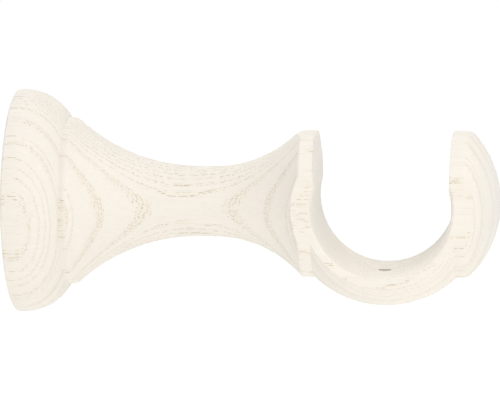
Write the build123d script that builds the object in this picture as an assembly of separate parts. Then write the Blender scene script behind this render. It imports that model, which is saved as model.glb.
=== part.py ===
"""Curtain pole bracket: one piece of wood turned about X, with a cradle for the pole cut across its ball."""
from build123d import *

import math
import os

# Driving dimensions of the turned outline, in millimetres, from the wall outwards
plate_diameter = 50.0
plate_back_rounding = 0.6
plate_edge_land = 0.8
plate_front_radius = 11.5
bead_diameter = 37.4
bead_crest = 0.8
bead_rounding = 2.0
wall_to_waist = 42.5
waist_diameter = 15.8
waist_land = 3.6
collar_diameter = 33.6
collar_crest = 2.4
collar_rounding = 0.8
end_crest = 1.5
end_rounding = 2.5
dome_bulge = 8.3

# Driving dimensions of the cradle and the holes, in millimetres
wall_to_pole_centre = 82.2
pole_to_ball_centre = 0.3
pole_diameter = 28.0
pole_clearance = 1.3
slot_neck_clearance = 0.6
slot_mouth_clearance = 1.1
cradle_wall = 7.7
hook_thickness = 30.2
bore_edge_rounding = 0.8
slot_edge_rounding = 0.2
mouth_edge_rounding = 0.5
pole_screw_hole_diameter = 3.0
hanger_bolt_hole_diameter = 5.0
hanger_bolt_hole_depth = 30.0

# Sizes of the cradle that follow from the pole
bore_radius = pole_diameter / 2 + pole_clearance
slot_neck = pole_diameter / 2 + slot_neck_clearance
slot_mouth = pole_diameter / 2 + slot_mouth_clearance
ball_radius = bore_radius + cradle_wall
horn_top = bore_radius
half_thickness = hook_thickness / 2

# Radii of the turned outline, and where its features lie along the axis
plate_radius = plate_diameter / 2
bead_radius = bead_diameter / 2
waist_radius = waist_diameter / 2
collar_radius = collar_diameter / 2
land_end = plate_back_rounding + plate_edge_land
front_centre_radius = plate_radius - plate_front_radius
notch = land_end + math.sqrt(plate_front_radius**2 - (bead_radius - front_centre_radius) ** 2)
bead_end = notch + bead_crest
waist_start = wall_to_waist - waist_land / 2
waist_end = wall_to_waist + waist_land / 2
ball_centre = wall_to_pole_centre + pole_to_ball_centre
ball_half_length = math.sqrt(ball_radius**2 - collar_radius**2)
collar_start = ball_centre - ball_half_length - collar_crest
end_start = ball_centre + ball_half_length + end_crest
end_centre_radius = collar_radius - end_rounding
dome_radius = (dome_bulge**2 + end_centre_radius**2 - end_rounding**2) / (2 * (dome_bulge - end_rounding))
tip = end_start + dome_bulge
dome_centre = tip - dome_radius


def arc(centre, radius, start, finish):
    """Arc about a centre, from one angle to another in degrees, counted from the first axis."""
    return CenterArc(centre, radius, start, finish - start)


def direction(rise, run):
    """Angle in degrees of a line with that rise and run."""
    return math.degrees(math.atan2(rise, run))


def cove_radius(run, rounding, crest_radius):
    """Radius of the hollow that leaves the waist level and meets a crest's rounding smoothly, a run away."""
    rise = crest_radius - rounding - waist_radius
    return (run**2 + rise**2 - rounding**2) / (2 * (rounding + rise))


def turned_outline():
    """Half outline of the turned piece, in x and radius, closed along the axis."""
    back = arc((plate_back_rounding, plate_radius - plate_back_rounding), plate_back_rounding, 180, 90)
    front_turn = direction(bead_radius - front_centre_radius, notch - land_end)
    front = arc((land_end, front_centre_radius), plate_front_radius, 90, front_turn)

    wall_cove = cove_radius(waist_start - bead_end, bead_rounding, bead_radius)
    bead_turn = direction(waist_radius + wall_cove - bead_radius + bead_rounding, waist_start - bead_end)
    bead = arc((bead_end, bead_radius - bead_rounding), bead_rounding, 90, bead_turn)
    cove_to_waist = arc((waist_start, waist_radius + wall_cove), wall_cove, bead_turn + 180, 270)

    pole_cove = cove_radius(collar_start - waist_end, collar_rounding, collar_radius)
    collar_turn = direction(waist_radius + pole_cove - collar_radius + collar_rounding, waist_end - collar_start)
    cove_to_collar = arc((waist_end, waist_radius + pole_cove), pole_cove, 270, collar_turn + 180)
    collar = arc((collar_start, collar_radius - collar_rounding), collar_rounding, collar_turn, 90)

    ball_turn = direction(collar_radius, ball_half_length)
    ball = arc((ball_centre, 0), ball_radius, 180 - ball_turn, ball_turn)
    dome_turn = direction(end_centre_radius, end_start - dome_centre)
    end = arc((end_start, end_centre_radius), end_rounding, 90, dome_turn)
    dome = arc((dome_centre, 0), dome_radius, dome_turn, 0)

    wall_centre = (0, 0)
    return [
        Line(wall_centre, back @ 0),
        back,
        Line(back @ 1, front @ 0),
        front,
        Line(front @ 1, bead @ 0),
        bead,
        cove_to_waist,
        Line(cove_to_waist @ 1, cove_to_collar @ 0),
        cove_to_collar,
        collar,
        Line(collar @ 1, ball @ 0),
        ball,
        Line(ball @ 1, end @ 0),
        end,
        dome,
        Line(dome @ 1, wall_centre),
    ]


def head_offcuts():
    """The wood taken off the turned head: outside its flat sides, above the horns, and off the ball on the horns."""
    reach = tip - wall_to_waist + ball_radius
    room = 2 * ball_radius
    side = Pos(wall_to_waist, half_thickness, 0) * Box(
        reach, room, 2 * room, align=(Align.MIN, Align.MIN, Align.CENTER)
    )
    top = Pos(wall_to_waist, 0, horn_top) * Box(reach, 2 * room, room, align=(Align.MIN, Align.CENTER, Align.MIN))
    upper_ball = Box(2 * ball_half_length, 2 * room, room, align=(Align.CENTER, Align.CENTER, Align.MIN))
    horn_round = Rot(0, 90, 0) * Cylinder(collar_radius, reach)
    return [side, mirror(side, about=Plane.XZ), top, Pos(ball_centre, 0, 0) * (upper_ball - horn_round)]


def flared_half(half_width, rounding):
    """Half section, in x and y, of a cut right across the hook that ends in a quarter round at each flat side."""
    straight = half_thickness - rounding
    flare = half_width + rounding
    outside = hook_thickness
    far_round = arc((flare, straight), rounding, 90, 180)
    near_round = arc((flare, -straight), rounding, 180, 270)
    return make_face(
        [
            Line((0, outside), (flare, outside)),
            Line((flare, outside), far_round @ 0),
            far_round,
            Line(far_round @ 1, near_round @ 0),
            near_round,
            Line(near_round @ 1, (flare, -outside)),
            Line((flare, -outside), (0, -outside)),
            Line((0, -outside), (0, outside)),
        ]
    )


def flared_section(half_width, rounding):
    """Both halves of the flared section as one face."""
    half = flared_half(half_width, rounding)
    return half + mirror(half, about=Plane.YZ)


def mouth_rounding():
    """Half section, in x and z, that rounds a horn's inner top edge, tangent to the leaning wall and the top."""
    lean = (slot_mouth - slot_neck) / horn_top
    slope_length = math.hypot(1, lean)
    centre_height = horn_top - mouth_edge_rounding
    centre = slot_neck + lean * centre_height + mouth_edge_rounding * slope_length
    above = horn_top + mouth_edge_rounding
    edge_round = arc((centre, centre_height), mouth_edge_rounding, 180 - direction(lean, 1), 90)
    foot = edge_round @ 0
    return make_face(
        [
            Line((0, foot.Y), foot),
            edge_round,
            Line(edge_round @ 1, (centre, above)),
            Line((centre, above), (0, above)),
            Line((0, above), (0, foot.Y)),
        ]
    )


def cradle_cuts():
    """The room cut for the pole: a cross bore, a slot above it that widens upwards, and a rounded mouth."""
    bore = revolve(flared_half(bore_radius, bore_edge_rounding), Axis.Y)
    slot_top = 2 * horn_top
    slot_top_half = 2 * slot_mouth - slot_neck
    slot_foot = flared_section(slot_neck, slot_edge_rounding)
    slot = loft([slot_foot, Pos(0, 0, slot_top) * flared_section(slot_top_half, slot_edge_rounding)])
    half_mouth = extrude(Plane.XZ * mouth_rounding(), hook_thickness, both=True)
    cuts = [bore, slot, half_mouth, mirror(half_mouth, about=Plane.YZ)]
    return [Pos(wall_to_pole_centre, 0, 0) * cut for cut in cuts]


def screw_holes():
    """The hole below the cradle for the pole's screw, and the pilot hole in the back for a hanger bolt."""
    pole_screw = Cylinder(pole_screw_hole_diameter / 2, 2 * ball_radius, align=(Align.CENTER, Align.CENTER, Align.MAX))
    hanger_bolt = Cylinder(
        hanger_bolt_hole_diameter / 2, hanger_bolt_hole_depth, align=(Align.CENTER, Align.CENTER, Align.MIN)
    )
    return [Pos(wall_to_pole_centre, 0, 0) * pole_screw, Plane.YZ * hanger_bolt]


def bracket():
    """The whole bracket: the turned piece less everything that is sawn, bored and drilled out of it."""
    body = revolve(make_face(turned_outline()), Axis.X)
    for cut in head_offcuts() + cradle_cuts() + screw_holes():
        body -= cut
    return body


os.makedirs("parts", exist_ok=True)
export_step(bracket(), "parts/bracket.step")
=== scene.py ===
"""Curtain pole bracket, turned from one piece of lime-washed ash, in soft light above a pale floor."""
import math

import bpy
from mathutils import Matrix, Vector

MM = 0.001

# Camera: in front of the bracket, a little above it and towards its free end
CAMERA_AIM = Vector((52.13, 0.0, 0.27)) * MM
CAMERA_DISTANCE = 698.2 * MM
CAMERA_TURN = math.radians(5.71)
CAMERA_RISE = math.radians(7.29)
CAMERA_ROLL = math.radians(0.30)
CAMERA_SENSOR = 36.0
CAMERA_LENS = 225.2

# Floor, well below the bracket, which a wall would hold up
FLOOR_DROP = 400 * MM
FLOOR_HALF_WIDTH = 6.0
FLOOR_COLOUR = (0.90, 0.90, 0.89, 1)
FLOOR_ROUGHNESS = 0.9
FLOOR_LIFT = 0.57

# Light: level and tint of the surroundings, then the lamps' colours and their sizes in metres
WORLD_LEVEL = 0.55
WORLD_TINT = (0.965, 0.975, 1.0)
WARM = (1.0, 0.945, 0.86)
COOL = (0.92, 1.0, 1.06)
WHITE = (1, 1, 1)
LARGE_LAMP = 1.4
MIDDLE_LAMP = 0.5
SMALL_LAMP = 0.4

# Growth rings: their starts, in millimetres across the grain, from behind the bracket to its front
RING_STARTS = (
    -32.0, -29.5, -27.2, -25.0, -23.0, -21.0, -19.2, -17.4, -15.7, -14.0, -12.4, -10.9, -9.4, -8.0,
    -6.7, -5.4, -4.2, -3.0, -1.8, -0.6, 0.5, 1.5, 2.5, 3.6, 4.8, 5.95, 7.05, 8.34, 11.72, 15.55, 16.28,
    18.69, 19.59, 20.5, 21.4, 23.3, 25.7, 28.6, 32.0,
)

# Lean of their layers along the bracket, with the turn at its free end, and their lean and bend upwards
RING_LEAN_ALONG = 0.066
RING_LEVEL_AT = 42.0
RING_TURN_FROM = 84.0
RING_TURN_TO = 97.0
RING_TURN_DEPTH = 1.19
RING_LEAN_UP = 0.10
RING_BEND = 0.004

# Colours of the limed wood, through one ring, in its pores, and on faces across the grain, where a darker,
# cooler colour is partly real end grain and partly painted cool shade
EARLY_WOOD = (0.935, 0.875, 0.782, 1)
MIDDLE_WOOD = (0.935, 0.881, 0.799, 1)
LATE_WOOD = (0.928, 0.878, 0.799, 1)
PORE_WOOD = (0.50, 0.42, 0.24, 1)
END_WOOD_AND_SHADE = (0.835, 0.808, 0.755, 1)
# How much darker faces across the grain are made, more in early wood: partly real end grain, partly painted
# shade on the bore, slot walls and faces turned along the bracket
END_GRAIN_AND_SHADE_LOSS = 0.10
END_GRAIN_AND_SHADE_CONTRAST = 0.06

# Clouds of soft noise: pattern lengths in millimetres along x, y and z, detail, full height
RING_SWAY = ((60, 20, 20), 1.0, 0.6)
RING_RIPPLE = ((18, 4, 4), 1.0, 0.35)
FIBRE_STREAKS = ((30, 0.7, 0.7), 2.0, 0.07)
PALE_PATCHES = ((14, 9, 9), 1.0, 0.04)
NOISE_MIDDLE = 0.5

# Grain that the pores follow: pattern lengths of its wander, and their detail
GRAIN_WANDER = ((12, 5, 5), 1.0)

# Pores: cell width and run in millimetres, then the radii, in cells, of a pore's full depth and of its rim
WIDE_PORE = (0.25, 1.3, 0.10, 0.38)
FINE_PORE = (0.27, 3.0, 0.12, 0.40)
PORE_SCATTER = 0.8
PORE_LONGEST_SHIFT = 20.0
WIDE_PORE_LEAST = 0.4

# Smooth steps through one ring, by its phase: start, finish, value before, value after
EARLY_SHARE = (0.1, 0.45, 1.0, 0.0)
LATE_SHARE = (0.6, 0.9, 0.0, 1.0)
PORE_CROWD = (0.14, 0.40, 1.05, 0.02)

# Smooth steps by the depth across the rings: the pore bands' extra width, and the pores' strength
NARROW_RING_WIDENING = (5.0, 8.0, 0.36, 0.0)
FRONT_WIDENING = (14.8, 15.4, 0.0, 0.08)
FRONT_NARROWING = (17.8, 18.4, 0.0, -0.12)
FRONT_FADING = (13.0, 16.0, 1.0, 0.84)

# Smooth steps by a pore's random number and along its run: which pores are there, and where they end
WIDE_PORE_CHOICE = (0.0, 0.4, 0.0, 1.0)
FINE_PORE_CHOICE = (0.5, 1.0, 0.0, 0.14)
PORE_TIP = (0.10, 0.30, 0.0, 1.0)

# Smooth steps by how squarely a face cuts the grain: the share of the end colour with its painted cool
# shade, and the pores' strength
END_AND_SHADE_SHARE = (0.5, 0.95, 0.0, 0.75)
END_PORES = (0.5, 0.9, 1.0, 0.5)

# Finish of the wood
WOOD_ROUGHNESS = 0.58
PORE_ROUGHENING = 0.25
WOOD_SPECULAR = 0.3
RELIEF_STRENGTH = 0.4
RELIEF_DEPTH = 0.05 * MM
EDGE_WEAR_RADIUS = 0.25 * MM
EDGE_WEAR_SAMPLES = 6


def place(tree, kind, inputs, **options):
    """A shader node with its options set, and each input given as a constant or as another node's output."""
    node = tree.nodes.new("ShaderNode" + kind)
    for name, value in options.items():
        setattr(node, name, value)
    for key, value in inputs.items():
        if isinstance(value, bpy.types.NodeSocket):
            tree.links.new(value, node.inputs[key])
        else:
            node.inputs[key].default_value = value
    return node


def reckon(tree, operation, first, second=0.0, third=0.0):
    """The result of one sum on numbers."""
    return place(tree, "Math", {0: first, 1: second, 2: third}, operation=operation).outputs[0]


def shifted(tree, points, shift):
    """Points moved by a shift."""
    return place(tree, "VectorMath", {0: points, 1: shift}, operation="ADD").outputs[0]


def noise(tree, points, lengths, detail):
    """Soft noise from 0 to 1, as a number and as a colour, with pattern lengths along x, y and z."""
    shares = tuple(1 / length for length in lengths)
    stretched = place(tree, "VectorMath", {0: points, 1: shares}, operation="MULTIPLY").outputs[0]
    return place(tree, "TexNoise", {"Vector": stretched, "Scale": 1.0, "Detail": detail}).outputs


def cloud(tree, points, lengths, detail, height):
    """Soft noise about zero, with pattern lengths along x, y and z and a full height."""
    level = noise(tree, points, lengths, detail)[0]
    return reckon(tree, "MULTIPLY", reckon(tree, "SUBTRACT", level, NOISE_MIDDLE), height)


def eased(tree, value, start, finish, low, high):
    """Smooth step from low to high while the value goes from start to finish."""
    inputs = {"Value": value, "From Min": start, "From Max": finish, "To Min": low, "To Max": high}
    return place(tree, "MapRange", inputs, interpolation_type="SMOOTHSTEP").outputs[0]


def blended(tree, share, under, over, kind="MIX"):
    """Two colours mixed by a share."""
    mix = place(tree, "MixRGB", {0: share, 1: under, 2: over}, blend_type=kind)
    return mix.outputs[0]


def ring_drift(tree, along):
    """How far back the ring layers have drifted at a place along x: a steady lean, then a turn."""
    steady = reckon(tree, "MINIMUM", along, RING_TURN_FROM)
    lean = reckon(tree, "MULTIPLY_ADD", steady, RING_LEAN_ALONG, -RING_LEVEL_AT * RING_LEAN_ALONG)
    turn = eased(tree, along, RING_TURN_FROM, RING_TURN_TO, 0.0, RING_TURN_DEPTH)
    return reckon(tree, "ADD", lean, turn)


def ring_depth(tree, points, drift):
    """Depth of a point across the ring layers, towards the front, with their drift, lean, bend and sway."""
    across, up = place(tree, "SeparateXYZ", {0: points}).outputs[1:]
    depth = reckon(tree, "SUBTRACT", drift, across)
    bend = reckon(tree, "MULTIPLY_ADD", up, RING_BEND, -RING_LEAN_UP)
    depth = reckon(tree, "MULTIPLY_ADD", up, bend, depth)
    depth = reckon(tree, "ADD", depth, cloud(tree, points, *RING_SWAY))
    return reckon(tree, "ADD", depth, cloud(tree, points, *RING_RIPPLE))


def ring_phase(tree, depth):
    """How far through its growth ring a point lies, from 0 to 1, by its depth across the rings."""
    first, last = RING_STARTS[0], RING_STARTS[-1]
    share = place(tree, "MapRange", {"Value": depth, "From Min": first, "From Max": last}).outputs[0]
    count = len(RING_STARTS) - 1
    curve = place(tree, "FloatCurve", {"Value": share})
    points = curve.mapping.curves[0].points
    for number, start in enumerate(RING_STARTS[1:-1], 1):
        points.new((start - first) / (last - first), number / count)
    for point in points:
        point.handle_type = "VECTOR"
    curve.mapping.update()
    return reckon(tree, "FRACT", reckon(tree, "MULTIPLY", curve.outputs[0], count))


def pores(tree, points, cell, length, inner, outer):
    """Slim pores along the grain: how far inside a pore a point is, and two random numbers per pore."""
    along, across, up = place(tree, "SeparateXYZ", {0: points}).outputs
    section = place(tree, "CombineXYZ", {0: across, 1: up}).outputs[0]
    inputs = {"Vector": section, "Scale": 1 / cell, "Randomness": PORE_SCATTER}
    cells = place(tree, "TexVoronoi", inputs, voronoi_dimensions="2D")
    chance, strength, start = place(tree, "SeparateXYZ", {0: cells.outputs["Color"]}).outputs
    inside = eased(tree, cells.outputs["Distance"], inner, outer, 1.0, 0.0)
    shift = reckon(tree, "MULTIPLY", start, PORE_LONGEST_SHIFT)
    run = reckon(tree, "MULTIPLY_ADD", along, 1 / length, shift)
    unbroken = eased(tree, reckon(tree, "PINGPONG", run, 1.0), *PORE_TIP)
    return reckon(tree, "MULTIPLY", inside, unbroken), chance, strength


def wide_pores(tree, grain, depth, phase):
    """Wide pores, crowded where a ring starts, in wider bands through narrow rings, fainter to the front."""
    pore, chance, strength = pores(tree, grain, *WIDE_PORE)
    widening = eased(tree, depth, *NARROW_RING_WIDENING)
    widening = reckon(tree, "ADD", widening, eased(tree, depth, *FRONT_WIDENING))
    widening = reckon(tree, "ADD", widening, eased(tree, depth, *FRONT_NARROWING))
    crowd = eased(tree, reckon(tree, "SUBTRACT", phase, widening), *PORE_CROWD)
    chosen = eased(tree, reckon(tree, "SUBTRACT", crowd, chance), *WIDE_PORE_CHOICE)
    pore = reckon(tree, "MULTIPLY", pore, chosen)
    strength = reckon(tree, "MULTIPLY_ADD", strength, 1 - WIDE_PORE_LEAST, WIDE_PORE_LEAST)
    pore = reckon(tree, "MULTIPLY", pore, strength)
    return reckon(tree, "MULTIPLY", pore, eased(tree, depth, *FRONT_FADING))


def fine_pores(tree, grain):
    """Fine, faint pores all through the wood, half of the cells left out."""
    pore, chance = pores(tree, grain, *FINE_PORE)[:2]
    return reckon(tree, "MULTIPLY", pore, eased(tree, chance, *FINE_PORE_CHOICE))


def open_pores(tree, points, drift, depth, phase):
    """How far open the pores are at a point, along a grain that wanders and drifts with the rings."""
    wander = noise(tree, points, *GRAIN_WANDER)["Color"]
    lean = place(tree, "CombineXYZ", {1: reckon(tree, "MULTIPLY", drift, -1.0)}).outputs[0]
    grain = shifted(tree, shifted(tree, points, wander), lean)
    return reckon(tree, "MAXIMUM", wide_pores(tree, grain, depth, phase), fine_pores(tree, grain))


def limed_ash():
    """Pale ash with its grain along x: leaning ring layers, bands of open pores, streaks, and faces across
    the grain painted darker and cooler, partly as real end grain and partly as painted shade.
    """
    material = bpy.data.materials.new("limed_ash")
    material.use_nodes = True
    tree = material.node_tree
    shader = tree.nodes["Principled BSDF"]
    coordinates = place(tree, "TexCoord", {})
    in_metres = coordinates.outputs["Object"]
    points = place(tree, "VectorMath", {0: in_metres, "Scale": 1 / MM}, operation="SCALE").outputs[0]
    drift = ring_drift(tree, place(tree, "SeparateXYZ", {0: points}).outputs[0])
    depth = ring_depth(tree, points, drift)
    phase = ring_phase(tree, depth)

    early = eased(tree, phase, *EARLY_SHARE)
    wood = blended(tree, early, MIDDLE_WOOD, EARLY_WOOD)
    wood = blended(tree, eased(tree, phase, *LATE_SHARE), wood, LATE_WOOD)

    end_turn = place(tree, "SeparateXYZ", {0: coordinates.outputs["Normal"]}).outputs[0]
    end_on = reckon(tree, "MULTIPLY", end_turn, end_turn)
    # Faces across the grain are made darker: partly real end grain, partly painted shade on the bore and
    # slot walls
    end_and_shade_loss = reckon(tree, "MULTIPLY_ADD", early, END_GRAIN_AND_SHADE_CONTRAST, END_GRAIN_AND_SHADE_LOSS)
    fibre = cloud(tree, points, *FIBRE_STREAKS)
    level = reckon(tree, "ADD", reckon(tree, "ADD", fibre, cloud(tree, points, *PALE_PATCHES)), 1.0)
    level = reckon(tree, "SUBTRACT", level, reckon(tree, "MULTIPLY", end_on, end_and_shade_loss))
    wood = blended(tree, 1.0, wood, level, "MULTIPLY")
    # Faces across the grain take a darker, cooler colour: partly real end grain, partly painted cool shade
    # on the bore and slot walls
    wood = blended(tree, eased(tree, end_on, *END_AND_SHADE_SHARE), wood, END_WOOD_AND_SHADE)

    pore = open_pores(tree, points, drift, depth, phase)
    pore = reckon(tree, "MULTIPLY", pore, eased(tree, end_on, *END_PORES))
    wood = blended(tree, pore, wood, PORE_WOOD)

    tree.links.new(wood, shader.inputs["Base Color"])
    roughness = reckon(tree, "MULTIPLY_ADD", pore, PORE_ROUGHENING, WOOD_ROUGHNESS)
    tree.links.new(roughness, shader.inputs["Roughness"])
    shader.inputs["Specular IOR Level"].default_value = WOOD_SPECULAR
    relief = reckon(tree, "SUBTRACT", fibre, pore)
    worn = place(tree, "Bevel", {"Radius": EDGE_WEAR_RADIUS}, samples=EDGE_WEAR_SAMPLES).outputs[0]
    inputs = {"Strength": RELIEF_STRENGTH, "Distance": RELIEF_DEPTH, "Height": relief, "Normal": worn}
    tree.links.new(place(tree, "Bump", inputs).outputs[0], shader.inputs["Normal"])
    return material


def seen_directly(tree):
    """1 for what the camera sees, straight or in something shiny or clear, and 0 for other light."""
    path = place(tree, "LightPath", {})
    shiny = reckon(tree, "MAXIMUM", path.outputs["Is Glossy Ray"], path.outputs["Is Transmission Ray"])
    return reckon(tree, "MAXIMUM", path.outputs["Is Camera Ray"], shiny)


def pale_floor():
    """A wide pale floor that shows white to the camera and keeps the bracket's shadow."""
    mesh = bpy.data.meshes.new("floor")
    half = FLOOR_HALF_WIDTH
    corners = ((-half, -half), (half, -half), (half, half), (-half, half))
    mesh.from_pydata([(x, y, -FLOOR_DROP) for x, y in corners], [], [(0, 1, 2, 3)])
    floor = bpy.data.objects.new("floor", mesh)
    bpy.context.scene.collection.objects.link(floor)
    material = bpy.data.materials.new("pale_floor")
    material.use_nodes = True
    tree = material.node_tree
    shader = tree.nodes["Principled BSDF"]
    shader.inputs["Base Color"].default_value = FLOOR_COLOUR
    shader.inputs["Roughness"].default_value = FLOOR_ROUGHNESS
    shader.inputs["Specular IOR Level"].default_value = 0.0
    shader.inputs["Emission Color"].default_value = (*WHITE, 1)
    lift = reckon(tree, "MULTIPLY", seen_directly(tree), FLOOR_LIFT)
    tree.links.new(lift, shader.inputs["Emission Strength"])
    mesh.materials.append(material)


def studio_world():
    """Even surroundings that show white to the camera and give about half that light to the bracket."""
    world = bpy.data.worlds.new("studio")
    bpy.context.scene.world = world
    world.use_nodes = True
    tree = world.node_tree
    background = tree.nodes["Background"]
    seen = seen_directly(tree)
    tree.links.new(blended(tree, seen, (*WORLD_TINT, 1), (*WHITE, 1)), background.inputs["Color"])
    strength = reckon(tree, "MULTIPLY_ADD", seen, 1 - WORLD_LEVEL, WORLD_LEVEL)
    tree.links.new(strength, background.inputs["Strength"])


def soft_lamp(name, place_at, size, power, colour=WHITE):
    """A square soft lamp at a place in metres, turned to the bracket."""
    light = bpy.data.lights.new(name, "AREA")
    light.size = size
    light.energy = power
    light.color = colour
    lamp = bpy.data.objects.new(name, light)
    lamp.location = Vector(place_at)
    lamp.rotation_mode = "QUATERNION"
    lamp.rotation_quaternion = (CAMERA_AIM - lamp.location).to_track_quat("-Z", "Y")
    bpy.context.scene.collection.objects.link(lamp)


def photo_camera():
    """Camera at the photograph's angle: tipped up over the bracket, turned to its free end, then rolled."""
    data = bpy.data.cameras.new("camera")
    data.sensor_width = CAMERA_SENSOR
    data.lens = CAMERA_LENS
    camera = bpy.data.objects.new("camera", data)
    bpy.context.scene.collection.objects.link(camera)
    upright = Matrix.Rotation(math.pi / 2, 4, "X")
    camera.matrix_world = (
        Matrix.Translation(CAMERA_AIM)
        @ Matrix.Rotation(-CAMERA_RISE, 4, "X")
        @ Matrix.Rotation(CAMERA_TURN, 4, "Z")
        @ upright
        @ Matrix.Rotation(CAMERA_ROLL, 4, "Z")
        @ Matrix.Translation((0, 0, CAMERA_DISTANCE))
    )
    bpy.context.scene.camera = camera


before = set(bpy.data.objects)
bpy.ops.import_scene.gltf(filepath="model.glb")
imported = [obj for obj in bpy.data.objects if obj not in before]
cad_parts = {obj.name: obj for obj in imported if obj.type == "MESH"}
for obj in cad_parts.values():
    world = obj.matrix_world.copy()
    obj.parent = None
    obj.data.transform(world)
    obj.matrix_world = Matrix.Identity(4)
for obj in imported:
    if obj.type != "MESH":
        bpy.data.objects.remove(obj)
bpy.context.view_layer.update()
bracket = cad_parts["bracket"]
bracket.data.materials.clear()
bracket.data.materials.append(limed_ash())

pale_floor()
studio_world()
soft_lamp("left", place_at=(-1.9, -0.9, 0.5), size=LARGE_LAMP, power=10.6)
soft_lamp("right", place_at=(2.0, 0.0, 0.2), size=LARGE_LAMP, power=4.1)
soft_lamp("back", place_at=(0.05, 0.9, 1.6), size=LARGE_LAMP, power=5.7, colour=COOL)
soft_lamp("rear", place_at=(-0.9, 1.4, -0.2), size=LARGE_LAMP, power=3.6)
soft_lamp("low", place_at=(0.4, -0.5, -0.3), size=SMALL_LAMP, power=1.62, colour=WARM)
soft_lamp("high", place_at=(0.2, -0.15, 0.6), size=SMALL_LAMP, power=0.68, colour=WARM)
soft_lamp("front", place_at=(0.4, -0.4, 0.5), size=MIDDLE_LAMP, power=0.60)
soft_lamp("slot", place_at=(0.8, -0.1, 0.8), size=SMALL_LAMP, power=0.80)
photo_camera()

bpy.context.scene.view_settings.view_transform = "Standard"
